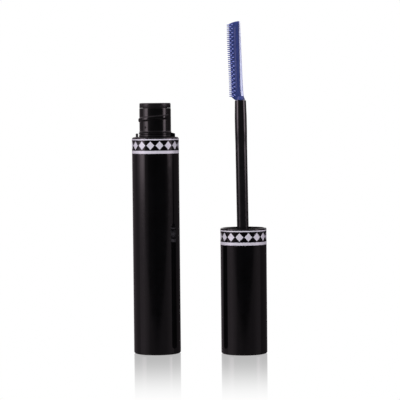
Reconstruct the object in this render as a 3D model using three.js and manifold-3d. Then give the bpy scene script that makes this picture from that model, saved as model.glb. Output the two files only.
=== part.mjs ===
// A mascara tube, opened: the bottle stands beside its wand, and the wand stands upside down on its cap.
// Millimetres, +Z up. The origin is the centre of the bottle's base, and the wand is to its right, at +X.
import * as THREE from "three";
import { mergeVertices } from "three/addons/utils/BufferGeometryUtils.js";
import Module from "manifold-3d";

const wasm = await Module();
wasm.setup();

// ---- Driving dimensions ----

// Bottle
const bottleRadius = 8.9;
const bodyHeight = 82.2; // base to shoulder rim
const sleeveWall = 1;
const vialWall = 1;
const floorThickness = 1;
const shoulderRecess = 0.05; // the edge of the vial's shoulder lies this far below the sleeve's rim
const shoulderRise = 0.2; // the shoulder climbs this much towards the collar
const lugHeight = 1.4; // of the stop lugs, above the shoulder's edge
const neckRadius = 5.96;
const neckBore = 4.62;
const wiperTop = 95.05;
const flangeThickness = 1.92;
const collarRadius = 6.25;
const collarTop = 84;

// Wand
const capRadius = 8.72;
const capLength = 47.6;
const capWall = 0.9;
const stemRadius = 2.2;
const stemTop = 95.75;
const combTop = 125.55;
const combThickness = 2;
const stemLean = 0.6; // degrees towards the bottle, taken up by the slack in its socket
const toothPitch = 0.76;
const toothRows = [-0.5, 0.5]; // the two staggered rows, either side of the blade's middle

// Screw thread, right-handed
const pitch = 3.3;
const ridgeWidth = 1.8;
const ridgeHeight = 0.4;
const ridgeStart = -324; // degrees round from +X, counted up the helix
const ridgeSweep = 300;
const ridgeStartHeight = 87.3;
const capRidgeWidth = 1.3;
const capRidgeCrest = 6.1; // radius
const threadGap = 0.15; // left between the two ridges when the tube is closed

// Fits
const seatGap = 0.05; // between faces that rest on each other
const sideGap = 0.13; // between the side walls of pressed pieces
const bottleToWand = new THREE.Vector3(33, -3.5, 0);

const outerSegments = 48;
const innerSegments = 36;

// ---- Sizes that follow from these ----

const neckTop = wiperTop - flangeThickness;
const shoulderHeight = bodyHeight - shoulderRecess;
const sleeveBore = bottleRadius - sleeveWall;
const vialRadius = sleeveBore - sideGap;
const vialBore = vialRadius - vialWall;
const vialFloor = 2 * floorThickness + seatGap;
const closedLength = bodyHeight + 3 * seatGap + capLength;
const capBore = capRadius - capWall;

// ---- Finishes ----

function finish(color, roughness) {
  return new THREE.MeshStandardMaterial({ color, roughness, metalness: 0 });
}

const glossBlack = finish(0x0b0a0b, 0.12);
const mouldedBlack = finish(0x161416, 0.28);
const rubberBlack = finish(0x242327, 0.5);
const wetBlack = finish(0x070607, 0.2);
const navyPlastic = finish(0x2f3c72, 0.35);

// ---- Helpers ----

// A closed three.js geometry as a manifold solid with its faces turned out.
function solidOf(geometry) {
  const bare = geometry.clone();
  bare.deleteAttribute("normal");
  bare.deleteAttribute("uv");
  const merged = mergeVertices(bare, 1e-4);
  const vertProperties = merged.attributes.position.array;
  const corner = (i) => new THREE.Vector3().fromArray(vertProperties, 3 * i);
  const faces = [];
  let volume = 0;
  for (let i = 0; i < merged.index.count; i += 3) {
    const [a, b, c] = merged.index.array.slice(i, i + 3);
    if (a === b || b === c || c === a) continue;
    faces.push([a, b, c]);
    volume += corner(a).dot(corner(b).cross(corner(c)));
  }
  const triVerts = new Uint32Array(faces.flatMap((face) => (volume < 0 ? face.reverse() : face)));
  return new wasm.Manifold(new wasm.Mesh({ numProp: 3, vertProperties, triVerts }));
}

// A named mesh from a manifold solid.
function piece(name, solid, material) {
  const { vertProperties, triVerts } = solid.getMesh();
  const geometry = new THREE.BufferGeometry();
  geometry.setAttribute("position", new THREE.BufferAttribute(new Float32Array(vertProperties), 3));
  geometry.setIndex(new THREE.BufferAttribute(new Uint32Array(triVerts), 1));
  geometry.computeVertexNormals();
  const mesh = new THREE.Mesh(geometry, material);
  mesh.name = name;
  return mesh;
}

// A solid turned about Z from a profile of [radius, height] points. A ring's profile is closed on itself.
function turned(profile, segments, ring = false) {
  const points = profile.map(([radius, height]) => new THREE.Vector2(radius, height));
  if (ring) points.push(points[0].clone());
  return solidOf(new THREE.LatheGeometry(points, segments).rotateX(Math.PI / 2));
}

// Profile points along an arc, angles in degrees from the outward direction.
function arc(radius, height, size, from, to, steps = 3) {
  return Array.from({ length: steps + 1 }, (_, i) => {
    const angle = THREE.MathUtils.degToRad(from + ((to - from) * i) / steps);
    return [radius + size * Math.cos(angle), height + size * Math.sin(angle)];
  });
}

// A block that covers part of a ring, from one angle to another, in degrees from +X.
function sector(innerRadius, outerRadius, from, to, base, height) {
  const [start, end] = [from, to].map(THREE.MathUtils.degToRad);
  const shape = new THREE.Shape();
  shape.absarc(0, 0, outerRadius, start, end, false);
  shape.absarc(0, 0, innerRadius, end, start, true);
  const options = { depth: height, bevelEnabled: false, curveSegments: 3 };
  return solidOf(new THREE.ExtrudeGeometry(shape, options).translate(0, 0, base));
}

// A screw ridge standing on a wall, dying into it at both ends. Its crest is outside or inside the wall.
function screwRidge(wallRadius, crestRadius, width, startAngle, startHeight) {
  const out = Math.sign(crestRadius - wallRadius);
  const root = wallRadius - 0.3 * out; // inside the wall
  const hidden = wallRadius - 0.1 * out; // where the crest starts and ends, just inside the wall
  const halfRoot = width / 2;
  const halfCrest = width / 4;
  const fadeShare = 0.12;
  const degreesPerStep = 7.5;
  const section = new THREE.Shape([
    new THREE.Vector2(0, -halfRoot),
    new THREE.Vector2(1, -halfCrest),
    new THREE.Vector2(1, halfCrest),
    new THREE.Vector2(0, halfRoot),
  ]);
  const steps = Math.round(ridgeSweep / degreesPerStep);
  const geometry = new THREE.ExtrudeGeometry(section, { depth: 1, steps, bevelEnabled: false });
  const { position } = geometry.attributes;
  for (let i = 0; i < position.count; i++) {
    const along = position.getZ(i);
    const full = Math.min(1, along / fadeShare, (1 - along) / fadeShare);
    const crest = THREE.MathUtils.lerp(hidden, crestRadius, THREE.MathUtils.smoothstep(full, 0, 1));
    const radius = THREE.MathUtils.lerp(root, crest, position.getX(i));
    const angle = THREE.MathUtils.degToRad(startAngle + ridgeSweep * along);
    const rise = (pitch * ridgeSweep * along) / 360;
    const height = startHeight + rise + position.getY(i);
    position.setXYZ(i, radius * Math.cos(angle), radius * Math.sin(angle), height);
  }
  return solidOf(geometry);
}

// ---- Bottle ----

function outerSleeve() {
  const cornerRadius = 0.7;
  const rimRadius = 0.7;
  return turned(
    [
      [0, 0],
      ...arc(bottleRadius - cornerRadius, cornerRadius, cornerRadius, -90, 0),
      ...arc(bottleRadius - rimRadius, bodyHeight - rimRadius, rimRadius, 0, 90),
      [sleeveBore, bodyHeight],
      [sleeveBore, floorThickness],
      [0, floorThickness],
    ],
    outerSegments,
  );
}

// The vial: body, shoulder, collar of two beads, neck and screw ridge, with the two stop lugs.
function innerBottle() {
  const cornerRadius = 0.5;
  const beadRadius = 0.45;
  const filletRadius = 0.6;
  const chamfer = 0.25;
  const innerCorner = 1;
  const innerShoulder = 79.5;
  const innerSlope = 4;
  const foot = floorThickness + seatGap;
  const beads = [collarTop - 3 * beadRadius, collarTop - beadRadius];
  const body = turned(
    [
      [0, foot],
      ...arc(vialRadius - cornerRadius, foot + cornerRadius, cornerRadius, -90, 0),
      [vialRadius, shoulderHeight],
      [collarRadius - beadRadius / 2, shoulderHeight + shoulderRise],
      ...beads.flatMap((height) => arc(collarRadius - beadRadius, height, beadRadius, -50, 50)),
      ...arc(neckRadius + filletRadius, collarTop + filletRadius, filletRadius, 250, 180),
      [neckRadius, neckTop - chamfer],
      [neckRadius - chamfer, neckTop],
      [neckBore, neckTop],
      [neckBore, innerShoulder],
      [vialBore, innerShoulder - innerSlope],
      ...arc(vialBore - innerCorner, vialFloor + innerCorner, innerCorner, 0, -90),
      [0, vialFloor],
    ],
    outerSegments,
  );
  const crest = neckRadius + ridgeHeight;
  const ridge = screwRidge(neckRadius, crest, ridgeWidth, ridgeStart, ridgeStartHeight);
  return body.add(ridge).add(rampLug()).add(pinLug()).add(neckPip());
}

const lugRoot = 0.1; // the lugs start this far inside the shoulder

// The stop lug at +X: a fin that ramps down from the collar.
function rampLug() {
  const width = 1.2;
  const reach = 7.5;
  const corner = 0.3;
  const ramp = 0.25;
  const hidden = collarRadius - 0.5;
  const shape = new THREE.Shape([
    new THREE.Vector2(hidden, -lugRoot),
    new THREE.Vector2(reach, -lugRoot),
    new THREE.Vector2(reach, lugHeight - corner),
    new THREE.Vector2(reach - corner, lugHeight),
    new THREE.Vector2(collarRadius, lugHeight + ramp),
    new THREE.Vector2(hidden, lugHeight + ramp),
  ]);
  const geometry = new THREE.ExtrudeGeometry(shape, { depth: width, bevelEnabled: false });
  geometry.translate(0, 0, -width / 2).rotateX(Math.PI / 2);
  return solidOf(geometry.translate(0, 0, shoulderHeight));
}

// The stop lug at -X: a small pin that stands clear of the collar.
function pinLug() {
  const radius = 0.45;
  const distance = 6.98; // from the bottle's axis
  const length = lugHeight + lugRoot;
  const geometry = new THREE.CylinderGeometry(radius, radius, length, 12).rotateX(Math.PI / 2);
  return solidOf(geometry.translate(-distance, 0, shoulderHeight - lugRoot + length / 2));
}

// A low pip on the neck, at the mould's gate.
function neckPip() {
  const angle = THREE.MathUtils.degToRad(-128);
  const height = collarTop + 1.9;
  const length = 0.6;
  const proud = 0.22;
  const geometry = new THREE.CylinderGeometry(0.3, 0.45, length, 10).rotateZ(-Math.PI / 2);
  geometry.translate(neckRadius + proud - length / 2, 0, 0).rotateZ(angle);
  return solidOf(geometry.translate(0, 0, height));
}

// The wiper: a flange on the neck, a tube in it, and a cone whose small lip strips the comb and stem.
function wiper() {
  const tubeRadius = neckBore - sideGap;
  const tubeBore = 3.7;
  const lipBore = stemRadius + 0.3;
  const lipWidth = 0.6;
  const lipHeight = 77.6;
  const coneTop = 82.6;
  const coneWall = 1;
  const leadIn = 0.4; // chamfer at the mouth of the tube
  const flangeRadius = neckRadius - 0.04;
  const flangeRound = 0.45;
  return turned(
    [
      [lipBore, lipHeight],
      [lipBore + lipWidth, lipHeight],
      [tubeRadius, coneTop],
      [tubeRadius, neckTop + seatGap],
      [flangeRadius, neckTop + seatGap],
      ...arc(flangeRadius - flangeRound, wiperTop - flangeRound, flangeRound, 0, 90),
      [tubeBore + leadIn, wiperTop],
      [tubeBore, wiperTop - leadIn],
      [tubeBore, coneTop + coneWall],
      [lipBore, lipHeight + coneWall],
    ],
    innerSegments,
    true,
  );
}

// The mascara itself: a pool on the floor and a lining on the wall, with the comb's channel down the middle.
function mascaraFormula() {
  const outside = vialBore - 2 * seatGap;
  const channel = 5.7;
  const bottom = vialFloor + seatGap;
  const corner = 1;
  const pool = bottom + 0.5;
  const level = 58;
  const swell = 0.8;
  return turned(
    [
      [0, bottom],
      [outside - corner, bottom],
      [outside, bottom + corner],
      [outside, level],
      [(outside + channel) / 2, level + swell],
      [channel, level],
      [channel, pool + swell],
      [channel - swell, pool],
      [0, pool],
    ],
    innerSegments,
  );
}

// ---- Wand ----

const mouthDepth = 1.5; // the inner cap's mouth lies this far inside the cap's rim
const seatDepth = 16;
const innerCapMouth = capLength - mouthDepth;
const innerCapSeat = capLength - seatDepth;
const gasketTop = closedLength - wiperTop - 0.1;
const gasketThickness = 1.3;
const innerCapRoof = gasketTop - gasketThickness - seatGap;
const socketFloor = 23.5;

function capShell() {
  const cornerRadius = 0.7;
  const rimRadius = 0.35;
  const ledge = 0.6;
  const endWall = 1.2;
  const innerChamfer = 1;
  return turned(
    [
      [0, 0],
      ...arc(capRadius - cornerRadius, cornerRadius, cornerRadius, -90, 0),
      ...arc(capRadius - rimRadius, capLength - rimRadius, rimRadius, 0, 90, 2),
      [capBore, capLength],
      [capBore, innerCapSeat - seatGap],
      [capBore - ledge, innerCapSeat - seatGap],
      [capBore - ledge, endWall + innerChamfer],
      [capBore - ledge - innerChamfer, endWall],
      [0, endWall],
    ],
    outerSegments,
  );
}

// The inner cap: screw ridge and two stop lugs at its mouth, and the stem's socket in the boss below.
function innerCap() {
  const outside = capBore - sideGap;
  const bore = collarRadius + 0.3;
  const bossRadius = 3.6;
  const bossFoot = 20;
  const bossChamfer = 0.5;
  const edge = 0.3;
  const socketRadius = stemRadius + 0.1;
  const lugRadius = 6.9;
  const lugSweep = 10;
  const lugReach = 1.05; // past the mouth
  const body = turned(
    [
      [0, bossFoot],
      [bossRadius - bossChamfer, bossFoot],
      [bossRadius, bossFoot + bossChamfer],
      [bossRadius, innerCapSeat],
      [outside, innerCapSeat],
      [outside, innerCapMouth - edge],
      [outside - edge, innerCapMouth],
      [bore + edge / 2, innerCapMouth],
      [bore, innerCapMouth - edge / 2],
      [bore, innerCapRoof],
      [socketRadius + edge, innerCapRoof],
      [socketRadius, innerCapRoof - edge],
      [socketRadius, socketFloor],
      [0, socketFloor],
    ],
    outerSegments,
  );
  // When the tube is closed the wand is turned over. Its ridge then lies just under the bottle's, and its
  // lugs have come to the pin and the fin.
  const drop = (ridgeWidth + capRidgeWidth) / 2 + threadGap;
  const ridgeTop = ridgeStartHeight + (pitch * ridgeSweep) / 360 - drop;
  const ridgeFrom = 180 - (ridgeStart + ridgeSweep);
  const ridge = screwRidge(bore, capRidgeCrest, capRidgeWidth, ridgeFrom, closedLength - ridgeTop);
  const lugs = [163.5, 345.5].map((from) =>
    sector(lugRadius, outside - 0.1, from, from + lugSweep, innerCapMouth - edge, edge + lugReach),
  );
  return lugs.reduce((solid, lug) => solid.add(lug), body.add(ridge));
}

function capGasket() {
  const bore = stemRadius + 0.4;
  const outside = 6.1;
  const bottom = gasketTop - gasketThickness;
  const edge = 0.2;
  return turned(
    [
      [bore, bottom],
      [outside, bottom],
      [outside, gasketTop - edge],
      [outside - edge, gasketTop],
      [bore, gasketTop],
    ],
    innerSegments,
    true,
  );
}

const shankRadius = 1;
const shankBottom = 90.05;

// The rod swells a little near its top, then tapers to the end that holds the comb's shank.
function stem() {
  const swell = 0.06;
  const swellFrom = 79;
  const swellTo = 84.5;
  const taperFrom = 90;
  const endRadius = 2.12;
  const edge = 0.3;
  const boreRadius = shankRadius + 0.1;
  const boreFloor = shankBottom - 0.3;
  const foot = socketFloor + seatGap;
  return turned(
    [
      [0, foot],
      [stemRadius - edge, foot],
      [stemRadius, foot + edge],
      [stemRadius, swellFrom],
      [stemRadius + swell, swellTo],
      [stemRadius + swell, taperFrom],
      [endRadius, stemTop - edge],
      [endRadius - edge, stemTop],
      [boreRadius, stemTop],
      [boreRadius, boreFloor],
      [0, boreFloor],
    ],
    innerSegments,
  );
}

// The comb's outline, seen from the front: spine at +X, toothed edge at -X.
const combFoot = stemTop + seatGap;
const spineFoot = new THREE.Vector2(1.75, combFoot);
const spineTop = new THREE.Vector2(0.4, combTop);
const toothTop = new THREE.Vector2(-3.75, combTop - 1);
const toothFoot = new THREE.Vector2(-3.3, combFoot + 1.2);
const toothedEdge = new THREE.CubicBezierCurve(
  toothTop,
  new THREE.Vector2(-4, combTop - 9),
  new THREE.Vector2(-3.1, combFoot + 11),
  toothFoot,
);

function comb() {
  const shape = new THREE.Shape();
  shape.moveTo(-spineFoot.x, spineFoot.y);
  shape.lineTo(spineFoot.x, spineFoot.y);
  shape.bezierCurveTo(0.95, combFoot + 3, 1.1, combFoot + 11, spineTop.x, spineTop.y);
  shape.quadraticCurveTo(-2.2, combTop - 0.1, toothTop.x, toothTop.y);
  shape.curves.push(toothedEdge);
  shape.currentPoint.copy(toothFoot);
  shape.lineTo(-spineFoot.x, spineFoot.y);
  const bevel = 0.35;
  const footHeight = 1.2;
  const footRadius = 1.3; // at its foot, in line with the stem's end
  const blade = new THREE.ExtrudeGeometry(shape, {
    depth: combThickness - 2 * bevel,
    curveSegments: 10,
    bevelThickness: bevel,
    bevelSize: bevel,
    bevelOffset: -bevel,
    bevelSegments: 1,
  });
  blade.translate(0, 0, bevel - combThickness / 2).rotateX(Math.PI / 2);
  const shankLength = combFoot + 1 - shankBottom;
  const shank = new THREE.CylinderGeometry(shankRadius, shankRadius, shankLength, 16);
  shank.rotateX(Math.PI / 2).translate(0, 0, shankBottom + shankLength / 2);
  const foot = new THREE.CylinderGeometry(footRadius, spineFoot.x, footHeight, 20);
  foot.rotateX(Math.PI / 2).translate(0, 0, combFoot + footHeight / 2);
  const body = solidOf(blade).add(solidOf(shank)).add(solidOf(foot));
  return teeth().reduce((solid, tooth) => solid.add(tooth), body);
}

// Fine pegs along the toothed edge, in the two rows by turns, leaning a little apart.
function teeth() {
  const height = 1.25;
  const embedded = 0.4;
  const splay = 0.22;
  const tipRadius = 0.09;
  const rootRadius = 0.24;
  const count = Math.floor((toothTop.y - toothFoot.y) / toothPitch);
  return Array.from({ length: count }, (_, i) => {
    const row = toothRows[i % toothRows.length];
    const root = toothedEdge.getPointAt((i + 0.5) / count);
    const peg = new THREE.CylinderGeometry(tipRadius, rootRadius, height, 5);
    peg.rotateZ(Math.PI / 2).translate(embedded - height / 2, 0, 0);
    peg.rotateZ(-Math.sign(row) * splay);
    return solidOf(peg.translate(root.x, row, root.y));
  });
}

// ---- Assembly ----

const bottle = new THREE.Group();
bottle.add(
  piece("outer_sleeve", outerSleeve(), glossBlack),
  piece("inner_bottle", innerBottle(), mouldedBlack),
  piece("wiper", wiper(), rubberBlack),
  piece("mascara_formula", mascaraFormula(), wetBlack),
);

// The stem and its comb are drawn upright, and lean about the middle of the socket.
const rod = new THREE.Group();
const leanHeight = (socketFloor + innerCapRoof) / 2;
rod.add(piece("stem", stem(), mouldedBlack), piece("comb", comb(), navyPlastic));
rod.children.forEach((mesh) => mesh.geometry.translate(0, 0, -leanHeight));
rod.position.z = leanHeight;
rod.rotation.y = THREE.MathUtils.degToRad(-stemLean);

const wand = new THREE.Group();
wand.position.copy(bottleToWand);
wand.add(
  piece("cap_shell", capShell(), glossBlack),
  piece("inner_cap", innerCap(), mouldedBlack),
  piece("cap_gasket", capGasket(), rubberBlack),
  rod,
);

const mascaraTube = new THREE.Group();
mascaraTube.add(bottle, wand);

export default mascaraTube;
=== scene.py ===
"""Looks for the opened mascara tube: fine surfaces, materials, stage, light and camera.

Shapes are worked out in millimetres and become metres when their mesh is made. Every round piece
is turned about its own upright axis: the bottle's is the frame's Z axis, the wand's stands beside it.
"""
import math

import bmesh
import bpy
from mathutils import Matrix, Quaternion, Vector, noise


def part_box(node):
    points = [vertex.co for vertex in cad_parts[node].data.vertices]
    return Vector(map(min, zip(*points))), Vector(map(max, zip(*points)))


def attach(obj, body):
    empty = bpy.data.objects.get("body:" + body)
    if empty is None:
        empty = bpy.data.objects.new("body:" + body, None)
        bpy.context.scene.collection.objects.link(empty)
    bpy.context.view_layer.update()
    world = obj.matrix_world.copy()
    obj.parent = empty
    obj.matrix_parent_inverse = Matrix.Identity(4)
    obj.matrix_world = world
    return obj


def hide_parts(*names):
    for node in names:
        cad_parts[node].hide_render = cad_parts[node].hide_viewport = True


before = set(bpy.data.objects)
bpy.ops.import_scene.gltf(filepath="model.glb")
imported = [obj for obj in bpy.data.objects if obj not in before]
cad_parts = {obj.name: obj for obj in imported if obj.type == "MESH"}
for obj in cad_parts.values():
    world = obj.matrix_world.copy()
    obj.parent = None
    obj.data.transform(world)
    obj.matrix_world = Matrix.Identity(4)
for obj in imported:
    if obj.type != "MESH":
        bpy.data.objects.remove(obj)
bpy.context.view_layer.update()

# ---- Sizes read from the frame, in millimetres ----

MM = 0.001


def corners(node):
    """The lowest and highest corner of a CAD node."""
    low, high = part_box(node)
    return low / MM, high / MM


SLEEVE_TOP = corners("outer_sleeve")[1]
WIPER_LOW, WIPER_HIGH = corners("wiper")
CAP_LOW, CAP_HIGH = corners("cap_shell")
LINER_LOW, LINER_HIGH = corners("inner_cap")
GASKET_LOW, GASKET_HIGH = corners("cap_gasket")
FILL_LOW, FILL_HIGH = corners("mascara_formula")

BOTTLE_AXIS = Vector((0, 0, 0))
WAND_AXIS = Vector(((CAP_LOW.x + CAP_HIGH.x) / 2, (CAP_LOW.y + CAP_HIGH.y) / 2, 0))

BOTTLE_RADIUS = SLEEVE_TOP.x
BODY_HEIGHT = SLEEVE_TOP.z
SLEEVE_BORE = BOTTLE_RADIUS - 1
CAP_RADIUS = CAP_HIGH.x - WAND_AXIS.x
CAP_LENGTH = CAP_HIGH.z
CAP_BORE = CAP_RADIUS - 0.9
LINER_SEAT = CAP_LENGTH - 16

# ---- Sizes that the part's source and this script share ----

SEAT_GAP = 0.05
SIDE_GAP = 0.13
FLANGE = 1.92  # thickness of the wiper's flange
NECK_RADIUS = WIPER_HIGH.x + 0.04
NECK_TOP = WIPER_HIGH.z - FLANGE
NECK_BORE = 4.62
SHOULDER = BODY_HEIGHT - SEAT_GAP
SHOULDER_RISE = 0.2
COLLAR_RADIUS = 6.25
COLLAR_TOP = 84
LUG_HEIGHT = 1.4
LINER_BORE = COLLAR_RADIUS + 0.3
SOCKET_FLOOR = 23.5
SOCKET_TOP = GASKET_LOW.z - SEAT_GAP
STEM_RADIUS = 2.2
STEM_FOOT = SOCKET_FLOOR + SEAT_GAP
STEM_TOP = 95.75
SHANK_BOTTOM = 90.05
SHANK_RADIUS = 1
COMB_FOOT = STEM_TOP + SEAT_GAP
COMB_TOP = 125.55
LEAN = math.radians(0.6)  # of the stem and comb, towards the bottle
CLOSED_LENGTH = BODY_HEIGHT + 3 * SEAT_GAP + CAP_LENGTH

PITCH = 3.3
RIDGE_SWEEP = 300  # degrees
RIDGE_START = -324
RIDGE_BASE = 87.3
RIDGE_WIDTH = 1.8
LINER_RIDGE_WIDTH = 1.3
THREAD_GAP = 0.15  # between the two ridges when the tube is closed

ROUND = 192  # facets round a tube
SHARP = math.radians(32)  # edges that turn more than this are shaded as sharp


# ---- Mesh helpers ----


def smooth(share):
    """An S-curve from 0 to 1."""
    share = min(1, max(0, share))
    return share * share * (3 - 2 * share)


def arc(radius, height, size, start, end, steps=8):
    """Outline points round a corner, angles in degrees from the outward direction."""
    angles = [math.radians(start + (end - start) * i / steps) for i in range(steps + 1)]
    return [(radius + size * math.cos(a), height + size * math.sin(a)) for a in angles]


def wall(radius, start, end, step=0.12):
    """Outline points along a straight wall, close enough together to carry relief."""
    count = max(1, round(abs(end - start) / step))
    return [(radius, start + (end - start) * i / count) for i in range(count + 1)]


def ring_of(build, axis, radius, height, facets, relief):
    """One ring of vertices, or the single one where the outline meets the axis."""
    if radius == 0:
        return [build.verts.new((axis.x, axis.y, height))]
    ring = []
    for i in range(facets):
        turn = 360 * i / facets
        reach = radius + (relief(turn, radius, height) if relief else 0)
        angle = math.radians(turn)
        place = (axis.x + reach * math.cos(angle), axis.y + reach * math.sin(angle), height)
        ring.append(build.verts.new(place))
    return ring


def turn(build, outline, axis, facets=ROUND, relief=None, closed=False):
    """Adds the surface that an outline of (radius, height) points sweeps round an upright axis."""
    rings = [ring_of(build, axis, r, h, facets, relief) for r, h in outline]
    pairs = list(zip(rings, rings[1:]))
    if closed:
        pairs.append((rings[-1], rings[0]))
    for lower, upper in pairs:
        for i in range(facets):
            j = (i + 1) % facets
            loop = [
                lower[i % len(lower)],
                lower[j % len(lower)],
                upper[j % len(upper)],
                upper[i % len(upper)],
            ]
            build.faces.new(dict.fromkeys(loop))


def strip(build, first, second, material=0):
    """Joins two rows of vertices of the same length with quads."""
    for i in range(len(first) - 1):
        face = build.faces.new((first[i], first[i + 1], second[i + 1], second[i]))
        face.material_index = material


def bevel(build, edges, width, segments):
    """Rounds edges. A list that names an edge twice is fine."""
    once = list(dict.fromkeys(edges))
    bmesh.ops.bevel(build, geom=once, offset=width, segments=segments, affect="EDGES")


def peg(build, root, tip, root_radius, tip_radius, material):
    """Adds a tapered peg with a rounded tip."""
    sides = 8
    along = tip - root
    side = along.orthogonal().normalized()
    other = along.normalized().cross(side)
    taper = [(0, 1), (0.5, 0.62), (0.82, 0.3), (0.94, 0.12), (1, 0)]  # place and width along the peg
    rings = []
    for place, width in taper:
        radius = tip_radius + (root_radius - tip_radius) * width
        if place == 1:
            radius *= 0.5
        middle = root + along * place
        ring = []
        for i in range(sides):
            angle = 2 * math.pi * i / sides
            offset = side * math.cos(angle) + other * math.sin(angle)
            ring.append(build.verts.new(middle + offset * radius))
        rings.append(ring)
    for lower, upper in zip(rings, rings[1:]):
        strip(build, lower + lower[:1], upper + upper[:1], material)
    for end in (rings[0], rings[-1]):
        build.faces.new(end).material_index = material


def lean(build):
    """Leans the stem or the comb about the middle of the stem's socket."""
    middle = WAND_AXIS + Vector((0, 0, (SOCKET_FLOOR + SOCKET_TOP) / 2))
    bmesh.ops.rotate(build, cent=middle, matrix=Matrix.Rotation(-LEAN, 3, "Y"), verts=build.verts)


def finished(build, name, *materials):
    """Turns millimetres to metres and makes a smooth-shaded object of a bmesh."""
    bmesh.ops.recalc_face_normals(build, faces=build.faces)
    bmesh.ops.scale(build, vec=(MM, MM, MM), verts=build.verts)
    mesh = bpy.data.meshes.new(name)
    build.to_mesh(mesh)
    build.free()
    for polygon in mesh.polygons:
        polygon.use_smooth = True
    mesh.set_sharp_from_angle(angle=SHARP)
    for material in materials:
        mesh.materials.append(material)
    piece = bpy.data.objects.new(name, mesh)
    bpy.context.scene.collection.objects.link(piece)
    even = piece.modifiers.new("even_normals", "WEIGHTED_NORMAL")
    even.keep_sharp = True
    return piece


def stand_for(piece, body, slot, *nodes):
    """Ties a piece to its body, in place of CAD nodes, whose parts it hides. The slot is not used."""
    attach(piece, body)
    if nodes:
        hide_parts(*nodes)


# ---- Material helpers ----


class Finish:
    """A plastic made of one Principled shader, with helpers that drive its sockets from noise."""

    def __init__(self, name, colour, roughness, **constants):
        self.material = bpy.data.materials.new(name)
        self.material.use_nodes = True
        self.tree = self.material.node_tree
        self.shader = self.tree.nodes["Principled BSDF"]
        self.shader.inputs["Base Color"].default_value = (*colour, 1)
        self.shader.inputs["Roughness"].default_value = roughness
        for socket, value in constants.items():
            self.shader.inputs[socket.replace("_", " ")].default_value = value
        self.place = self.tree.nodes.new("ShaderNodeTexCoord")
        self.normal = None

    def noise(self, size, detail=3, stretch=(1, 1, 1)):
        """A noise pattern whose marks are about so many millimetres across."""
        mapping = self.tree.nodes.new("ShaderNodeMapping")
        mapping.inputs["Scale"].default_value = stretch
        texture = self.tree.nodes.new("ShaderNodeTexNoise")
        texture.inputs["Scale"].default_value = 1 / (size * MM)
        texture.inputs["Detail"].default_value = detail
        self.tree.links.new(self.place.outputs["Object"], mapping.inputs["Vector"])
        self.tree.links.new(mapping.outputs["Vector"], texture.inputs["Vector"])
        return texture.outputs["Fac"]

    def mottle(self, pattern, dark, light):
        """Colour that wanders between two shades."""
        ramp = self.tree.nodes.new("ShaderNodeValToRGB")
        ramp.color_ramp.elements[0].position = 0.35
        ramp.color_ramp.elements[0].color = (*dark, 1)
        ramp.color_ramp.elements[1].position = 0.65
        ramp.color_ramp.elements[1].color = (*light, 1)
        self.tree.links.new(pattern, ramp.inputs["Fac"])
        self.tree.links.new(ramp.outputs["Color"], self.shader.inputs["Base Color"])

    def polish(self, pattern, low, high):
        """Roughness that wanders between two values."""
        spread = self.tree.nodes.new("ShaderNodeMapRange")
        spread.inputs["From Min"].default_value = 0.3
        spread.inputs["From Max"].default_value = 0.7
        spread.inputs["To Min"].default_value = low
        spread.inputs["To Max"].default_value = high
        self.tree.links.new(pattern, spread.inputs["Value"])
        self.tree.links.new(spread.outputs["Result"], self.shader.inputs["Roughness"])

    def bumps(self, pattern, depth):
        """Fine relief, on top of any already there, so many millimetres deep."""
        bump = self.tree.nodes.new("ShaderNodeBump")
        bump.inputs["Distance"].default_value = depth * MM
        self.tree.links.new(pattern, bump.inputs["Height"])
        if self.normal:
            self.tree.links.new(self.normal, bump.inputs["Normal"])
        self.normal = bump.outputs["Normal"]
        self.tree.links.new(self.normal, self.shader.inputs["Normal"])


# ---- Materials ----


def gloss_black():
    """Polished black plastic: slow waves from the mould, and a haze of fine rubbing."""
    finish = Finish("gloss_black", (0.0018, 0.0018, 0.002), 0.06, IOR=1.5)
    finish.mottle(finish.noise(6), (0.0015, 0.0015, 0.0017), (0.0021, 0.0021, 0.0024))
    finish.polish(finish.noise(1.5, 5), 0.045, 0.085)
    finish.bumps(finish.noise(7, 1), 0.004)
    finish.bumps(finish.noise(0.12, 2, (1, 1, 0.1)), 0.0003)
    return finish.material


def moulded_black(name, shade, ior):
    """Black plastic straight from the mould, a little less polished, with flow marks."""
    finish = Finish(name, (shade, shade, shade), 0.1, IOR=ior)
    dark, light = 0.83 * shade, 1.2 * shade
    finish.mottle(finish.noise(2.5), (dark, dark, 1.1 * dark), (light, light, 1.08 * light))
    finish.polish(finish.noise(0.8, 5), 0.07, 0.13)
    finish.bumps(finish.noise(1.8, 2, (1, 1, 0.35)), 0.004)
    finish.bumps(finish.noise(0.09, 3), 0.0006)
    return finish.material


def soft_black():
    """Soft black plastic with a dry, even grain."""
    finish = Finish("soft_black", (0.005, 0.0047, 0.0053), 0.3, IOR=1.45)
    finish.mottle(finish.noise(0.9), (0.0038, 0.0036, 0.0041), (0.0062, 0.0058, 0.0066))
    finish.polish(finish.noise(0.5, 4), 0.25, 0.36)
    finish.bumps(finish.noise(0.07, 3), 0.001)
    return finish.material


def wet_mascara():
    """Thick wet cream, smeared along the wall by the comb."""
    finish = Finish("mascara", (0.003, 0.0026, 0.003), 0.2, Coat_Weight=0.6, Coat_Roughness=0.08)
    finish.polish(finish.noise(1.2, 5), 0.14, 0.4)
    finish.bumps(finish.noise(1.6, 5, (1, 1, 0.3)), 0.06)
    return finish.material


def navy_plastic():
    """Navy comb plastic, satin, with fine streaks along the blade."""
    finish = Finish("navy_plastic", (0.026, 0.04, 0.15), 0.36, IOR=1.46)
    finish.mottle(finish.noise(0.5, 4, (1, 1, 0.25)), (0.021, 0.033, 0.13), (0.032, 0.048, 0.17))
    finish.polish(finish.noise(0.6, 4), 0.3, 0.44)
    finish.bumps(finish.noise(0.3, 3, (1, 1, 0.3)), 0.01)
    return finish.material


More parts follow.
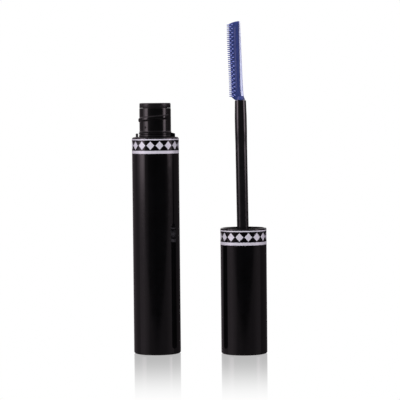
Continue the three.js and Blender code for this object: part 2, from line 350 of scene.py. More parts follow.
def painted_highlight_navy():
    """The same navy plastic on the teeth and ribs, painted lighter: a painted highlight for the light they
    catch.
    """
    finish = Finish("navy_plastic_painted_highlight", (0.15, 0.18, 0.43), 0.32, IOR=1.46)
    finish.mottle(finish.noise(0.4, 4), (0.12, 0.15, 0.38), (0.18, 0.21, 0.48))
    finish.polish(finish.noise(0.5, 4), 0.26, 0.4)
    finish.bumps(finish.noise(0.12, 3), 0.004)
    return finish.material


def painted_edge_reflection(name, dark, light):
    """The comb's thin back edge: the same plastic, painted pale as a painted reflection of the bright studio
    beside it.
    """
    finish = Finish(name, light, 0.35, IOR=1.46)
    finish.mottle(finish.noise(2.2), dark, light)
    finish.bumps(finish.noise(0.1, 3), 0.001)
    return finish.material


def silver_foil():
    """Hot-stamped foil: pale lavender silver with a fine metal grain."""
    finish = Finish("silver_foil", (0.6, 0.6, 0.67), 0.32, Metallic=0.15, IOR=1.5)
    finish.mottle(finish.noise(0.35, 4), (0.57, 0.57, 0.64), (0.63, 0.63, 0.7))
    finish.polish(finish.noise(0.25, 4), 0.28, 0.42)
    finish.bumps(finish.noise(0.06, 3), 0.0008)
    return finish.material


GLOSS_BLACK = gloss_black()
MOULDED_BLACK = moulded_black("moulded_black", 0.0024, 1.5)
STEM_BLACK = moulded_black("moulded_black_stem", 0.0055, 1.62)
SOFT_BLACK = soft_black()
MASCARA = wet_mascara()
NAVY = navy_plastic()
# Painted highlight: a lighter copy of the navy plastic, for the teeth and ribs.
PAINTED_HIGHLIGHT_NAVY = painted_highlight_navy()
# Painted reflection on the comb's thin back edge, and a dimmer painted reflection at its rim.
PAINTED_EDGE_REFLECTION = painted_edge_reflection("navy_plastic_painted_reflection", (0.6, 0.64, 0.88), (0.7, 0.74, 0.96))
PAINTED_EDGE_REFLECTION_RIM = painted_edge_reflection("navy_plastic_rim_painted_reflection", (0.33, 0.36, 0.58), (0.4, 0.43, 0.66))
FOIL = silver_foil()


# ---- Screw ridges ----


def ridge_relief(start, base, height, root, crest):
    """How far a screw ridge stands out from its wall, as a relief for turn()."""
    fade = 36  # degrees over which each end rises

    def relief(angle, radius, level):
        turned = (angle - start) % 360
        if turned > RIDGE_SWEEP:
            return 0
        across = abs(level - base - PITCH * turned / 360)
        flank = smooth((root / 2 - across) / (root / 2 - crest / 2))
        ends = smooth(min(turned, RIDGE_SWEEP - turned) / fade)
        return height * flank * ends

    return relief


def seam(angle, facets=ROUND, height=0.02):
    """The fine line where the two halves of the mould met, on both sides."""
    step = 360 / facets
    return height if min(angle % 180, 180 - angle % 180) < step / 2 else 0


# ---- Bottle ----


def base_outline(radius):
    """The closed end of a tube: gate mark, shallow recess, standing ring and rounded corner."""
    ring = 6.8
    recess = 0.2
    gate = 0.9
    gate_depth = 0.12
    corner = 0.7
    return [
        (0, recess + gate_depth),
        (gate - 0.15, recess + gate_depth),
        (gate, recess),
        *arc(ring - recess, 0, recess, 90, 20, 4),
        (ring, 0),
        *arc(radius - corner, corner, corner, -90, 0),
    ]


def outer_sleeve():
    """The gloss outer tube, closed at its base."""
    rim = 0.7
    floor = 1
    build = bmesh.new()
    outline = [
        *base_outline(BOTTLE_RADIUS),
        *arc(BOTTLE_RADIUS - rim, BODY_HEIGHT - rim, rim, 0, 90),
        (SLEEVE_BORE, BODY_HEIGHT),
        (SLEEVE_BORE, floor),
        (0, floor),
    ]
    turn(build, outline, BOTTLE_AXIS)
    return finished(build, "sleeve", GLOSS_BLACK)


neck_ridge = ridge_relief(RIDGE_START, RIDGE_BASE, 0.4, RIDGE_WIDTH, 0.8)


def neck_relief(angle, radius, level):
    """The screw ridge and the mould's seam, on the neck's outside only."""
    if abs(radius - NECK_RADIUS) > 0.01 or level > NECK_TOP - 0.2:
        return 0
    return neck_ridge(angle, radius, level) + seam(angle)


def inner_bottle():
    """The vial: body, shoulder, beaded collar and threaded neck, with its stop lugs."""
    vial_radius = SLEEVE_BORE - SIDE_GAP
    vial_bore = vial_radius - 1
    foot = 1 + SEAT_GAP
    vial_floor = foot + 1
    bead = 0.45
    fillet = 0.6
    chamfer = 0.2
    inner_shoulder = 79.5
    inner_slope = 4
    inner_corner = 1
    outline = [
        (0, foot),
        *arc(vial_radius - 0.5, foot + 0.5, 0.5, -90, 0),
        *arc(vial_radius - 0.1, SHOULDER - 0.1, 0.1, 0, 80, 3),
        *arc(COLLAR_RADIUS + 0.1, SHOULDER + SHOULDER_RISE + 0.25, 0.25, 255, 200, 4),
        *arc(COLLAR_RADIUS - bead, COLLAR_TOP - 3 * bead, bead, -60, 60),
        *arc(COLLAR_RADIUS - bead, COLLAR_TOP - bead, bead, -60, 70),
        *arc(NECK_RADIUS + fillet, COLLAR_TOP + fillet, fillet, 255, 180),
        *wall(NECK_RADIUS, COLLAR_TOP + fillet + 0.1, NECK_TOP - chamfer),
        *arc(NECK_RADIUS - chamfer, NECK_TOP - chamfer, chamfer, 20, 90, 4),
        (NECK_BORE, NECK_TOP),
        (NECK_BORE, inner_shoulder),
        (vial_bore, inner_shoulder - inner_slope),
        *arc(vial_bore - inner_corner, vial_floor + inner_corner, inner_corner, 0, -90),
        (0, vial_floor),
    ]
    build = bmesh.new()
    turn(build, outline, BOTTLE_AXIS, relief=neck_relief)
    add_fin(build)
    add_pin(build)
    add_pip(build)
    return finished(build, "vial", MOULDED_BLACK)


def add_fin(build):
    """The stop lug at +X, a fin that ramps down from the collar, with its edges rounded."""
    half_width = 0.6
    reach = 7.5
    corner = 0.3
    top = SHOULDER + LUG_HEIGHT
    outline = [
        (COLLAR_RADIUS - 0.5, SHOULDER - 0.1),
        (reach, SHOULDER - 0.1),
        *arc(reach - corner, top - corner, corner, 0, 80, 5),
        (COLLAR_RADIUS, top + 0.25),
        (COLLAR_RADIUS - 0.5, top + 0.25),
    ]
    sides = [[build.verts.new((x, y, z)) for x, z in outline] for y in (-half_width, half_width)]
    faces = [build.faces.new(sides[0]), build.faces.new(sides[1])]
    strip(build, sides[0] + sides[0][:1], sides[1] + sides[1][:1])
    bevel(build, [edge for face in faces for edge in face.edges], 0.12, 3)


def add_pin(build):
    """The stop lug at -X, a round-topped pin that stands clear of the collar."""
    radius = 0.45
    middle = Vector((-6.98, 0, 0))
    top = SHOULDER + LUG_HEIGHT
    outline = [
        (0, SHOULDER - 0.1),
        *arc(radius + 0.12, SHOULDER + 0.16, 0.12, 270, 180, 4),
        *arc(radius - 0.2, top - 0.2, 0.2, 0, 90, 5),
        (0, top),
    ]
    turn(build, outline, middle, facets=32)


def add_pip(build):
    """A low round pip on the neck, where the mould was filled."""
    angle = math.radians(-128)
    out = Vector((math.cos(angle), math.sin(angle), 0))
    middle = Vector((0, 0, COLLAR_TOP + 1.9))
    sides = 20
    dome = [(0.5, -0.2), (0.45, 0.02), (0.38, 0.14), (0.24, 0.21), (0.08, 0.23)]  # radius, rise
    side = Vector((-out.y, out.x, 0))
    rings = []
    for width, proud in dome:
        centre = middle + out * (NECK_RADIUS + proud)
        ring = []
        for i in range(sides):
            turned = 2 * math.pi * i / sides
            offset = side * math.cos(turned) + Vector((0, 0, math.sin(turned)))
            ring.append(build.verts.new(centre + offset * width))
        rings.append(ring)
    for lower, upper in zip(rings, rings[1:]):
        strip(build, lower + lower[:1], upper + upper[:1])
    build.faces.new(rings[0])
    build.faces.new(rings[-1])


def wiper():
    """The soft plug in the neck: a flange, a tube, and a cone that ends in a lip round the stem."""
    tube_radius = NECK_BORE - SIDE_GAP
    tube_bore = 3.7
    lip_bore = STEM_RADIUS + 0.3
    lip = WIPER_LOW.z
    cone_top = lip + 5
    top = WIPER_HIGH.z
    edge = 0.4
    outline = [
        *arc(lip_bore + 0.3, lip + 0.3, 0.3, 200, 340),
        (tube_radius, cone_top),
        (tube_radius, NECK_TOP + SEAT_GAP),
        *arc(WIPER_HIGH.x - 0.12, NECK_TOP + SEAT_GAP + 0.12, 0.12, -90, 0, 4),
        *arc(WIPER_HIGH.x - edge, top - edge, edge, 0, 90),
        *arc(tube_bore + 0.5, top - 0.5, 0.5, 90, 180),
        (tube_bore, cone_top + 1),
        (lip_bore, lip + 1),
    ]
    build = bmesh.new()
    turn(build, outline, BOTTLE_AXIS, closed=True)
    return finished(build, "wiper_plug", SOFT_BLACK)


def mascara_fill():
    """The lining that the comb leaves on the vial's wall, thicker in some places than others."""
    outside = FILL_HIGH.x
    channel = 5.7
    bottom = FILL_LOW.z
    level = FILL_HIGH.z - 0.8
    pool = bottom + 0.5

    def smear(angle, radius, height):
        if radius > outside - 0.2:
            return 0
        turned = math.radians(angle)
        place = Vector((1.6 * math.cos(turned), 1.6 * math.sin(turned), height / 7))
        return 0.22 * noise.noise(place) * min(1, radius / channel)

    outline = [
        (0, bottom),
        *arc(outside - 1, bottom + 1, 1, -90, 0),
        (outside, level),
        *arc((outside + channel) / 2, level, (outside - channel) / 2, 20, 160, 8),
        *wall(channel, level - 0.4, pool + 1, 0.6),
        *arc(channel - 0.8, pool + 0.8, 0.8, 0, -90),
        (2, pool),
        (0, pool),
    ]
    build = bmesh.new()
    turn(build, outline, BOTTLE_AXIS, facets=96, relief=smear)
    return finished(build, "mascara_fill", MASCARA)


# ---- Wand ----


def cap_shell():
    """The gloss outer cap, with a ledge inside that the liner sits on."""
    rim = 0.35
    ledge = 0.6
    seat = LINER_SEAT - SEAT_GAP
    floor = 1.2
    outline = [
        *base_outline(CAP_RADIUS),
        *arc(CAP_RADIUS - rim, CAP_LENGTH - rim, rim, 0, 90),
        *arc(CAP_BORE + 0.2, CAP_LENGTH - 0.2, 0.2, 90, 180, 4),
        (CAP_BORE, seat),
        (CAP_BORE - ledge, seat),
        *arc(CAP_BORE - ledge - 1, floor + 1, 1, 0, -90),
        (0, floor),
    ]
    build = bmesh.new()
    turn(build, outline, WAND_AXIS)
    return finished(build, "cap", GLOSS_BLACK)


# On the closed tube the wand is turned over, and the liner's ridge lies just under the bottle's.
RIDGE_DROP = (RIDGE_WIDTH + LINER_RIDGE_WIDTH) / 2
LINER_RIDGE_TOP = RIDGE_BASE + PITCH * RIDGE_SWEEP / 360 - RIDGE_DROP - THREAD_GAP
LINER_RIDGE_BASE = CLOSED_LENGTH - LINER_RIDGE_TOP
LINER_RIDGE_START = 180 - (RIDGE_START + RIDGE_SWEEP)
liner_ridge = ridge_relief(LINER_RIDGE_START, LINER_RIDGE_BASE, -0.45, LINER_RIDGE_WIDTH, 0.5)


def liner_relief(angle, radius, level):
    """The screw ridge, on the liner's bore only."""
    return liner_ridge(angle, radius, level) if abs(radius - LINER_BORE) < 0.01 else 0


def inner_cap():
    """The cap's liner: a threaded bore, and a boss that holds the stem."""
    outside = CAP_BORE - SIDE_GAP
    mouth = CAP_LENGTH - 1.5
    boss = 3.6
    boss_foot = LINER_LOW.z
    roof = SOCKET_TOP
    socket = STEM_RADIUS + 0.1
    outline = [
        (0, boss_foot),
        *arc(boss - 0.5, boss_foot + 0.5, 0.5, -90, 0, 4),
        (boss, LINER_SEAT),
        (outside, LINER_SEAT),
        *arc(outside - 0.3, mouth - 0.3, 0.3, 0, 90, 4),
        *arc(LINER_BORE + 0.2, mouth - 0.2, 0.2, 90, 180, 4),
        *wall(LINER_BORE, mouth - 0.3, roof + 0.1, 0.15),
        (LINER_BORE, roof),
        (socket + 0.3, roof),
        (socket, roof - 0.3),
        (socket, SOCKET_FLOOR),
        (0, SOCKET_FLOOR),
    ]
    build = bmesh.new()
    turn(build, outline, WAND_AXIS, facets=144, relief=liner_relief)
    lug_sweep = 10
    for start in (163.5, 345.5):
        add_stop(build, 6.9, outside - 0.1, start, start + lug_sweep, mouth - 0.3, LINER_HIGH.z)
    return finished(build, "cap_liner", MOULDED_BLACK)


def add_stop(build, inner, outer, start, end, low, high):
    """A stop lug on the liner's mouth: a short length of ring with rounded edges."""
    steps = 6
    turns = [math.radians(start + (end - start) * i / steps) for i in range(steps + 1)]
    rows = []
    for radius, height in ((inner, low), (outer, low), (outer, high), (inner, high)):
        row = []
        for angle in turns:
            place = Vector((radius * math.cos(angle), radius * math.sin(angle), height))
            row.append(build.verts.new(WAND_AXIS + place))
        rows.append(row)
    for row, following in zip(rows, rows[1:] + rows[:1]):
        strip(build, row, following)
    ends = [build.faces.new([row[i] for row in rows]) for i in (0, -1)]
    edges = [edge for face in ends for edge in face.edges]
    edges += [e for row in rows[2:] for v in row for e in v.link_edges if e.other_vert(v) in row]
    bevel(build, edges, 0.08, 2)


def cap_gasket():
    """The loose sealing ring round the stem."""
    bore = STEM_RADIUS + 0.4
    outside = GASKET_HIGH.x - WAND_AXIS.x
    low, high = GASKET_LOW.z, GASKET_HIGH.z
    edge = 0.2
    outline = [
        *arc(bore + edge, low + edge, edge, 180, 270, 4),
        *arc(outside - edge, low + edge, edge, -90, 0, 4),
        *arc(outside - edge, high - edge, edge, 0, 90, 4),
        *arc(bore + edge, high - edge, edge, 90, 180, 4),
    ]
    build = bmesh.new()
    turn(build, outline, WAND_AXIS, facets=96, closed=True)
    return finished(build, "seal_ring", SOFT_BLACK)


def stem():
    """The rod: straight, with a slight swell near its end, where the comb is pressed in."""
    swell = 2.26
    swell_from = 78
    end = 2.12
    end_from = 88.5
    change = 7  # the height over which the radius changes
    bore = SHANK_RADIUS + 0.1
    bore_floor = SHANK_BOTTOM - 0.3
    low = STEM_FOOT
    foot = 0.3
    steps = 90

    def profile(height):
        rise = smooth((height - swell_from) / change)
        fall = smooth((height - end_from) / change)
        return STEM_RADIUS + (swell - STEM_RADIUS) * rise - (swell - end) * fall

    levels = [low + foot + (STEM_TOP - 0.25 - low - foot) * i / steps for i in range(steps + 1)]
    outline = [
        (0, low),
        *arc(STEM_RADIUS - foot, low + foot, foot, -90, -15, 4),
        *[(profile(level), level) for level in levels],
        *arc(end - 0.2, STEM_TOP - 0.2, 0.2, 0, 90, 5),
        *arc(bore + 0.15, STEM_TOP - 0.15, 0.15, 90, 180, 4),
        (bore, bore_floor),
        (0, bore_floor),
    ]

    def relief(angle, radius, level):
        return seam(angle, 96, 0.012) if radius > STEM_RADIUS - 0.25 and level < STEM_TOP - 0.5 else 0

    build = bmesh.new()
    turn(build, outline, WAND_AXIS, facets=96, relief=relief)
    lean(build)
    return finished(build, "rod", STEM_BLACK)


# ---- Comb: x is measured from the wand's axis, towards the spine ----

BLADE_LENGTH = COMB_TOP - COMB_FOOT
BODY_COLUMNS = 44
EDGE_COLUMNS = 7
RIM_COLUMNS = 2  # the outermost of the edge's columns
TOOTH_PITCH = 0.76
# The edge and rim slots hold a painted reflection, and the tooth slot holds a painted highlight.
BODY_SLOT, EDGE_REFLECTION_SLOT, RIM_REFLECTION_SLOT, TOOTH_HIGHLIGHT_SLOT = range(4)  # the comb's material slots


def spine_x(height):
    """The outline on the spine's side: it leans in, and spreads to the foot."""
    up = height - COMB_FOOT
    return 0.4 + 0.75 * (1 - up / BLADE_LENGTH) + 0.6 * math.exp(-up / 1.4)


def toothed_x(height):
    """The outline on the toothed side, slightly bowed."""
    return -3.3 - 0.46 * smooth((height - COMB_FOOT - 3) / 22)


def face_x(height):
    """Where the thick body of the blade ends and its thin back edge starts."""
    return 0.02 + 0.9 * math.exp(-(height - COMB_FOOT) / 1.7)


def body_half(share, height):
    """Half the body's thickness, from the toothed edge (0) to the thin back edge (1)."""
    groove_place, groove_spread = 0.38, 0.12
    ridge_place, ridge_spread = 0.57, 0.085
    toothed_to, back_from = 0.07, 0.86  # the two edges are rounded up to and from these shares
    window = smooth((COMB_TOP - 1.2 - height) / 1.2) * smooth((height - COMB_FOOT - 2) / 3)
    half = 0.78 + 0.14 * smooth(share / 0.6)
    ridge = 0.2 * window * smooth(1 - abs(share - ridge_place) / ridge_spread)
    groove = 0.1 * window * smooth(1 - abs(share - groove_place) / groove_spread)
    toothed = 1 - 0.4 * max(0, 1 - share / toothed_to) ** 2
    back = 1 - 0.88 * max(0, (share - back_from) / (1 - back_from)) ** 2
    return (half + ridge - groove) * math.sqrt(toothed * back)


def edge_half(share):
    """Half the thickness of the thin back edge, rounded at its rim."""
    return 0.33 * math.sqrt(1 - 0.85 * max(0, (share - 0.7) / 0.3) ** 2)


def blade_columns(height):
    """(x, half thickness) across the blade, toothed edge first."""
    left, face, right = toothed_x(height), face_x(height), spine_x(height)
    columns = []
    for i in range(BODY_COLUMNS + 1):
        share = i / BODY_COLUMNS
        columns.append((left + (face - left) * share, body_half(share, height)))
    for i in range(1, EDGE_COLUMNS + 1):
        share = i / EDGE_COLUMNS
        columns.append((face + (right - face) * share, edge_half(share)))
    return columns


def blade_level(x, share):
    """The height of a point of the blade, between its slanted foot and its slanted top."""
    foot_rise = 1.2 * max(0, (-1.75 - x) / 1.55) ** 1.3
    top_drop = max(0, (0.4 - x) / 4.15) ** 2
    low = COMB_FOOT + foot_rise
    return low + (COMB_TOP - top_drop - low) * share


def column_material(index):
    """Navy on the body, then a painted reflection on the thin back edge, painted dimmer at its rim."""
    if index < BODY_COLUMNS:
        return BODY_SLOT
    return EDGE_REFLECTION_SLOT if index < BODY_COLUMNS + EDGE_COLUMNS - RIM_COLUMNS else RIM_REFLECTION_SLOT


def add_blade(build):
    """The blade, as rows of points up its front and back that meet at the edges and ends."""
    rounded = 0.982  # share of the height where the top edge starts to round off
    steps = 90
    stations = [i / steps for i in range(steps - 1)]
    stations += [rounded, 0.987, 0.991, 0.994, 0.997, 0.999, 1]
    rows = []
    for share in stations:
        height = COMB_FOOT + BLADE_LENGTH * share
        over = max(0, (share - rounded) / (1 - rounded))
        thin = math.sqrt(1 - 0.9 * over**2)
        front, back = [], []
        for x, half in blade_columns(height):
            level = blade_level(x, share)
            front.append(build.verts.new((WAND_AXIS.x + x, WAND_AXIS.y - half * thin, level)))
            back.append(build.verts.new((WAND_AXIS.x + x, WAND_AXIS.y + half * thin, level)))
        rows.append((front, back))
    last = BODY_COLUMNS + EDGE_COLUMNS
    for (front, back), (next_front, next_back) in zip(rows, rows[1:]):
        for i in range(last):
            for row, following in ((front, next_front), (back, next_back)):
                face = build.faces.new((row[i], row[i + 1], following[i + 1], following[i]))
                face.material_index = column_material(i)
        build.faces.new((front[0], back[0], next_back[0], next_front[0]))
        rim = build.faces.new((front[last], back[last], next_back[last], next_front[last]))
        rim.material_index = RIM_REFLECTION_SLOT
    for front, back in (rows[0], rows[-1]):
        for i in range(last):
            face = build.faces.new((front[i], front[i + 1], back[i + 1], back[i]))
            face.material_index = column_material(i)


def add_teeth(build):
    """Long teeth in two staggered rows, with a short one beside each root."""
    first = COMB_FOOT + 1.2
    length = COMB_TOP - 1 - first
    count = math.floor(length / TOOTH_PITCH)
    long_tooth, short_tooth = (-0.88, 0.72), (-0.4, 0.95)  # how far out and to the side each reaches
    for i in range(count):
        height = first + (i + 0.5) * length / count
        side = -1 if i % 2 == 0 else 1
        edge = WAND_AXIS + Vector((toothed_x(height), 0, height))
        for way, (reach, splay) in ((side, long_tooth), (-side, short_tooth)):
            root = edge + Vector((0.4, way * 0.5, 0))
            tip = edge + Vector((reach, way * splay, 0))
            peg(build, root, tip, 0.26, 0.17, TOOTH_HIGHLIGHT_SLOT)
        add_ribs(build, edge, 0.1 if i % 2 == 0 else 0.8)


def add_ribs(build, edge, inset):
    """A short rib behind a tooth, on both faces: level near the top, slanting lower down."""
    slant = 0.4 * (1 - smooth((edge.z - COMB_FOOT - 8) / 12))
    length = 0.7
    for side in (-1, 1):
        start = edge + Vector((inset, side * 0.76, -slant * inset))
        end = edge + Vector((inset + length, side * 0.86, -slant * (inset + length)))
        peg(build, start, end, 0.33, 0.24, TOOTH_HIGHLIGHT_SLOT)


def comb():
    """The blade with its teeth, on a round foot and a shank that the stem holds."""
    build = bmesh.new()
    add_blade(build)
    add_teeth(build)
    foot = [
        (0, SHANK_BOTTOM),
        *arc(SHANK_RADIUS - 0.2, SHANK_BOTTOM + 0.2, 0.2, -90, 0, 4),
        (SHANK_RADIUS, COMB_FOOT),
        (1.6, COMB_FOOT),
        *arc(1.6, COMB_FOOT + 0.15, 0.15, -90, 0, 4),
        *arc(2.0, COMB_FOOT + 1.5, 0.7, 215, 180, 4),
        (0, COMB_FOOT + 1.6),
    ]
    turn(build, foot, WAND_AXIS, facets=64)
    lean(build)
    return finished(build, "comb_blade", NAVY, PAINTED_EDGE_REFLECTION, PAINTED_EDGE_REFLECTION_RIM, PAINTED_HIGHLIGHT_NAVY)


# ---- Silver foil: a frieze of plain lozenges between two lines, at the joint of bottle and cap ----

FOIL_PROUD = 0.02  # how far the foil stands out, and as far again sunk in
LOZENGES = 16


def add_line(build, axis, radius, low, high):
    """A line all the way round."""
    inside, outside = radius - FOIL_PROUD, radius + FOIL_PROUD
    outline = [(inside, low), (outside, low), (outside, high), (inside, high)]
    turn(build, outline, axis, closed=True)


def add_lozenge(build, axis, radius, middle, angle, half_width, half_height):
    """One lozenge that follows the tube's curve."""
    columns = 16
    rows = [[], [], [], []]
    sides = ((-1, -1), (1, -1), (1, 1), (-1, 1))  # outwards and upwards, for each row
    for i in range(columns + 1):
        share = 2 * i / columns - 1
        turned = angle + share * half_width / radius
        half = max(0.03, half_height * (1 - abs(share)))
        way = Vector((math.cos(turned), math.sin(turned), 0))
        for row, (out, up) in zip(rows, sides):
            place = axis + way * (radius + out * FOIL_PROUD)
            row.append(build.verts.new((place.x, place.y, middle + up * half)))
    for row, following in zip(rows, rows[1:] + rows[:1]):
        strip(build, row, following)
    for i in (0, -1):
        build.faces.new([row[i] for row in rows])


def frieze(name, axis, radius, edge):
    """The frieze under a tube's top edge: a thin line, the lozenges and a thick line."""
    build = bmesh.new()
    add_line(build, axis, radius, edge - 1.15, edge - 0.7)
    add_line(build, axis, radius, edge - 6.2, edge - 5.1)
    middle = edge - 3.13
    half_width, half_height = 1.5, 1.6
    for i in range(LOZENGES):
        angle = 2 * math.pi * (i + 0.5) / LOZENGES
        add_lozenge(build, axis, radius, middle, angle, half_width, half_height)
    return finished(build, name, FOIL)


stand_for(outer_sleeve(), "bottle", "gloss_black", "outer_sleeve")
stand_for(inner_bottle(), "bottle", "moulded_black", "inner_bottle")
stand_for(wiper(), "bottle", "soft_black", "wiper")
stand_for(mascara_fill(), "bottle", "mascara", "mascara_formula")
stand_for(frieze("bottle_foil", BOTTLE_AXIS, BOTTLE_RADIUS, BODY_HEIGHT), "bottle", "silver_foil")
stand_for(cap_shell(), "wand", "gloss_black", "cap_shell")
stand_for(inner_cap(), "wand", "moulded_black", "inner_cap")
stand_for(stem(), "wand", "moulded_black", "stem")
stand_for(comb(), "wand", "navy_plastic", "comb")
stand_for(frieze("cap_foil", WAND_AXIS, CAP_RADIUS, CAP_LENGTH), "wand", "silver_foil")
stand_for(cap_gasket(), "gasket", "soft_black", "cap_gasket")


# ---- Stage: in metres, like the lights and the camera ----

WARM_WHITE = (1, 0.84, 0.93, 1)
VIEW_X = 0.0167  # the level place of the camera, between the two tubes


def plane(name, points, material):
    """A flat stage piece through four corners."""
    mesh = bpy.data.meshes.new(name)
    mesh.from_pydata(points, [], [(0, 1, 2, 3)])
    mesh.materials.append(material)
    piece = bpy.data.objects.new(name, mesh)
    bpy.context.scene.collection.objects.link(piece)
    return piece


def bare_material(name):
    """A material with only its output node."""
    material = bpy.data.materials.new(name)
    material.use_nodes = True
    tree = material.node_tree
    tree.nodes.remove(tree.nodes["Principled BSDF"])
    return material, tree, tree.nodes["Material Output"].inputs["Surface"]


def position(tree):
    """Where the shaded point is, as X, Y and Z sockets."""
    place = tree.nodes.new("ShaderNodeNewGeometry")
    parts = tree.nodes.new("ShaderNodeSeparateXYZ")
    tree.links.new(place.outputs["Position"], parts.inputs["Vector"])
    return parts.outputs


def joined(tree, operation, first, second):
    """Two values put together by a math node, each a socket or a number."""
    node = tree.nodes.new("ShaderNodeMath")
    node.operation = operation
    for socket, value in zip(node.inputs, (first, second)):
        if isinstance(value, (int, float)):
            socket.default_value = value
        else:
            tree.links.new(value, socket)
    return node.outputs["Value"]


def eased(tree, place, start, end, first, last, curve="LINEAR"):
    """A value that goes from first to last as the place goes from start to end."""
    step = tree.nodes.new("ShaderNodeMapRange")
    step.interpolation_type = curve
    step.inputs["From Min"].default_value = start
    step.inputs["From Max"].default_value = end
    step.inputs["To Min"].default_value = first
    step.inputs["To Max"].default_value = last
    tree.links.new(place, step.inputs["Value"])
    return step.outputs["Result"]


def stepped(tree, place, stops):
    """A value that runs straight from stop to stop, each a (place, level) pair."""
    (first, level), (second, next_level) = stops[:2]
    total = eased(tree, place, first, second, level, next_level)
    for (start, low), (end, high) in zip(stops[1:], stops[2:]):
        total = joined(tree, "ADD", total, eased(tree, place, start, end, 0, high - low))
    return total


def white_glow(name):
    """A surface that glows evenly."""
    material, tree, surface = bare_material(name)
    light = tree.nodes.new("ShaderNodeEmission")
    tree.links.new(light.outputs["Emission"], surface)
    return material


def distance_to(tree, place, axis):
    """The level distance from a point to an upright axis, as a node socket."""
    flat = tree.nodes.new("ShaderNodeCombineXYZ")
    tree.links.new(place["X"], flat.inputs["X"])
    tree.links.new(place["Y"], flat.inputs["Y"])
    gap = tree.nodes.new("ShaderNodeVectorMath")
    gap.operation = "DISTANCE"
    gap.inputs[1].default_value = (axis.x * MM, axis.y * MM, 0)
    tree.links.new(flat.outputs["Vector"], gap.inputs[0])
    return gap.outputs["Value"]


def distance_to_tube(tree, place):
    """The level distance from a point to the nearer of the two axes."""
    bottle, wand = distance_to(tree, place, BOTTLE_AXIS), distance_to(tree, place, WAND_AXIS)
    return joined(tree, "MINIMUM", bottle, wand)


def floor_material():
    """White gloss floor: it mirrors what stands on it, and the mirror image fades out with distance."""
    material, tree, surface = bare_material("white_gloss_floor")
    place = position(tree)
    near, far = 0.012, 0.136
    fade = eased(tree, distance_to_tube(tree, place), near, far, 1, 0, "SMOOTHSTEP")
    gloss = tree.nodes.new("ShaderNodeFresnel")
    gloss.inputs["IOR"].default_value = 1.5
    white = tree.nodes.new("ShaderNodeEmission")
    mirror = tree.nodes.new("ShaderNodeBsdfGlossy")
    mirror.inputs["Color"].default_value = (1, 1, 1, 1)
    mirror.inputs["Roughness"].default_value = 0.03
    mix = tree.nodes.new("ShaderNodeMixShader")
    tree.links.new(joined(tree, "MULTIPLY", fade, gloss.outputs["Fac"]), mix.inputs["Fac"])
    tree.links.new(white.outputs["Emission"], mix.inputs[1])
    tree.links.new(mirror.outputs["BSDF"], mix.inputs[2])
    tree.links.new(mix.outputs["Shader"], surface)
    return material


def build_stage():
    """A white floor, and a white wall that only reflections see."""
    wide = 4
    corners_of_floor = [(-wide, -wide, 0), (wide, -wide, 0), (wide, wide, 0), (-wide, wide, 0)]
    floor = plane("floor", corners_of_floor, floor_material())
    floor.visible_diffuse = False
    floor.visible_glossy = False
    floor.visible_shadow = False

    # The white that the floor mirrors behind the tube.
    back, half, low, high = 1.5, 0.6, 0.13, 0.4
    points = [(-half, back, low), (half, back, low), (half, back, high), (-half, back, high)]
    backdrop = plane("backdrop", points, white_glow("backdrop_white"))
    backdrop.visible_camera = False
    backdrop.visible_diffuse = False
    backdrop.visible_shadow = False


def aim(thing, target, roll=0):
    """Points a camera or lamp at a place."""
    way = Vector(target) - thing.location
    thing.rotation_mode = "QUATERNION"
    thing.rotation_quaternion = way.to_track_quat("-Z", "Y") @ Quaternion((0, 0, 1), roll)


def soft_light(name, location, size, power):
    """A large lamp aimed at the tubes, itself never mirrored."""
    data = bpy.data.lights.new(name, "AREA")
    data.shape = "RECTANGLE"
    data.size, data.size_y = size
    data.energy = power
    lamp = bpy.data.objects.new(name, data)
    bpy.context.scene.collection.objects.link(lamp)
    lamp.location = location
    lamp.visible_glossy = False
    aim(lamp, (VIEW_X, 0, 0.06))


def build_lights():
    soft_light("key_light", (-0.45, -0.6, 0.85), (0.5, 0.35), 11)
    soft_light("fill_light", (0.55, -0.6, 0.85), (0.5, 0.35), 7)
    soft_light("back_light", (0.1, 0.7, 0.9), (0.7, 0.4), 5)


# The studio as the tube mirrors it. Bearings are degrees from the front, negative to the left, and
# heights are the rise of a direction of unit length.
LEFT_LIGHT_WIDTH = [(-106, 0), (-86, 0.25), (-74, 0.85), (-66, 1), (-58, 0.8), (-52, 0)]
LEFT_LIGHT_HEIGHT = [(-0.07, 0), (-0.045, 0.25), (-0.025, 1.9), (0, 3), (0.55, 3), (0.75, 0)]
RIGHT_LIGHT_WIDTH = [(58, 0), (66, 0.65), (74, 1), (83, 0.4), (102, 0)]
RIGHT_LIGHT_HEIGHT = [(-0.045, 0), (-0.025, 0.25), (-0.011, 2.6), (0, 3.6), (0.55, 3.6), (0.75, 0)]
WALL_GLOW = [(-107, 0.16), (-66, 0.3), (-45, 0.15), (-33, 0.03), (0, 0), (45, 0.02), (71, 0.12), (130, 0.06)]


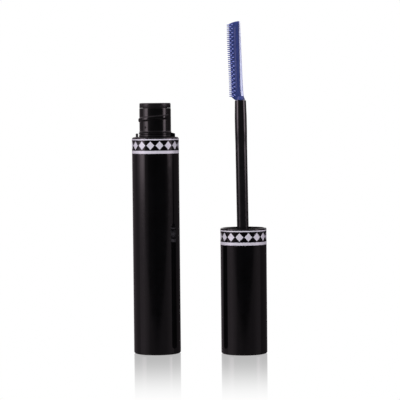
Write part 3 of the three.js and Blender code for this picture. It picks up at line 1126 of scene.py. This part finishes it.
def studio_light(tree, way):
    """How bright the studio is, by direction: two tall lights at the front corners, dark between them."""
    bearing = joined(tree, "ARCTAN2", way["X"], joined(tree, "MULTIPLY", way["Y"], -1))
    bearing = joined(tree, "MULTIPLY", bearing, math.degrees(1))
    rise = way["Z"]
    left = stepped(tree, bearing, LEFT_LIGHT_WIDTH)
    left_level = stepped(tree, rise, LEFT_LIGHT_HEIGHT)
    right = stepped(tree, bearing, RIGHT_LIGHT_WIDTH)
    right_level = stepped(tree, rise, RIGHT_LIGHT_HEIGHT)
    glow = stepped(tree, bearing, WALL_GLOW)
    ahead = joined(tree, "DIVIDE", rise, joined(tree, "MULTIPLY", way["Y"], -1))
    table_level = 0.11
    table = eased(tree, ahead, -0.118, -0.108, table_level, 0)
    ceiling = eased(tree, rise, 0.1, 0.35, 0, 0.15, "SMOOTHSTEP")
    total = joined(tree, "MULTIPLY", left, left_level)
    total = joined(tree, "ADD", total, joined(tree, "MULTIPLY", right, right_level))
    for part in (glow, table, ceiling):
        total = joined(tree, "ADD", total, part)
    return total


def build_world():
    """White behind everything for the camera, and the studio for light and reflections."""
    world = bpy.data.worlds.new("studio")
    bpy.context.scene.world = world
    world.use_nodes = True
    tree = world.node_tree
    seen = tree.nodes["Background"]
    seen.inputs["Color"].default_value = (1, 1, 1, 1)
    around = tree.nodes.new("ShaderNodeBackground")
    around.inputs["Color"].default_value = WARM_WHITE
    place = tree.nodes.new("ShaderNodeTexCoord")
    way = tree.nodes.new("ShaderNodeSeparateXYZ")
    tree.links.new(place.outputs["Generated"], way.inputs["Vector"])
    tree.links.new(studio_light(tree, way.outputs), around.inputs["Strength"])
    path = tree.nodes.new("ShaderNodeLightPath")
    mix = tree.nodes.new("ShaderNodeMixShader")
    tree.links.new(path.outputs["Is Camera Ray"], mix.inputs["Fac"])
    tree.links.new(around.outputs["Background"], mix.inputs[1])
    tree.links.new(seen.outputs["Background"], mix.inputs[2])
    tree.links.new(mix.outputs["Shader"], tree.nodes["World Output"].inputs["Surface"])


def build_camera():
    """A long lens at the photo's eye level, looking slightly down."""
    data = bpy.data.cameras.new("camera")
    data.lens = 180
    data.sensor_width = 36
    camera = bpy.data.objects.new("camera", data)
    bpy.context.scene.collection.objects.link(camera)
    camera.location = (VIEW_X, -0.7586, 0.092)
    aim(camera, (VIEW_X, 0, 0.0581), roll=math.radians(-0.55))
    bpy.context.scene.camera = camera


build_stage()
build_lights()
build_world()
build_camera()
bpy.context.scene.view_settings.view_transform = "Standard"
